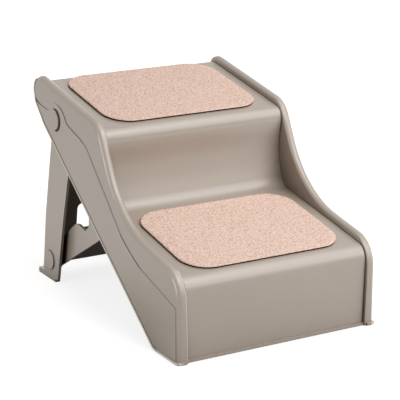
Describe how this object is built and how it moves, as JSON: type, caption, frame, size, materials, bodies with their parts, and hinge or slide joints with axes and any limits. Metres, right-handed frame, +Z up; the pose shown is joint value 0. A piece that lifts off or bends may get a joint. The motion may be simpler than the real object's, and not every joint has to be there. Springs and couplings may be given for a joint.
{
  "type": "pet stairs",
  "caption": "Folding pet steps: a moulded step shell with raised side rails and carpet pads, carried at the back by a hinged leg frame that an inner brace locks open",
  "frame": {"origin": "centre of the bounding box in X and Y, on the floor in Z", "axes": "+X to the right across the steps as seen by the animal that climbs them, +Y from the front riser to the rear leg, +Z up"},
  "size_m": [0.3844, 0.543, 0.3769],
  "materials": {
    "moulded_plastic": "warm taupe, satin moulded surface with a fine grain",
    "carpet_pile": "short dense pinkish beige pile",
    "pad_backing": "dark flat backing",
    "foot_rubber": "matt dark rubber"
  },
  "bodies": {
    "stairs": {"step_shell": "moulded_plastic", "lower_pad": "carpet_pile", "upper_pad": "carpet_pile", "lower_backing": "pad_backing", "upper_backing": "pad_backing", "left_hinge_pin": "moulded_plastic", "right_hinge_pin": "moulded_plastic", "front_feet": "foot_rubber"},
    "leg": {"rear_leg": "moulded_plastic", "left_brace_pin": "moulded_plastic", "right_brace_pin": "moulded_plastic", "left_sole": "foot_rubber", "right_sole": "foot_rubber"},
    "brace": {"brace": "moulded_plastic"}
  },
  "joints": [
    {"name": "leg_fold", "type": "hinge", "parent": "stairs", "child": "leg", "pos_m": [0, 0.17439, 0.311], "axis": [-1, 0, 0], "range_deg": [0, 51]},
    {"name": "brace_fold", "type": "hinge", "parent": "leg", "child": "brace", "pos_m": [0, 0.22154, 0.038], "axis": [-1, 0, 0], "range_deg": [0, 41.2]}
  ],
  "couplings": [
    {"joint": "brace_fold", "follows": "leg_fold", "ratio": 0.8077}
  ]
}
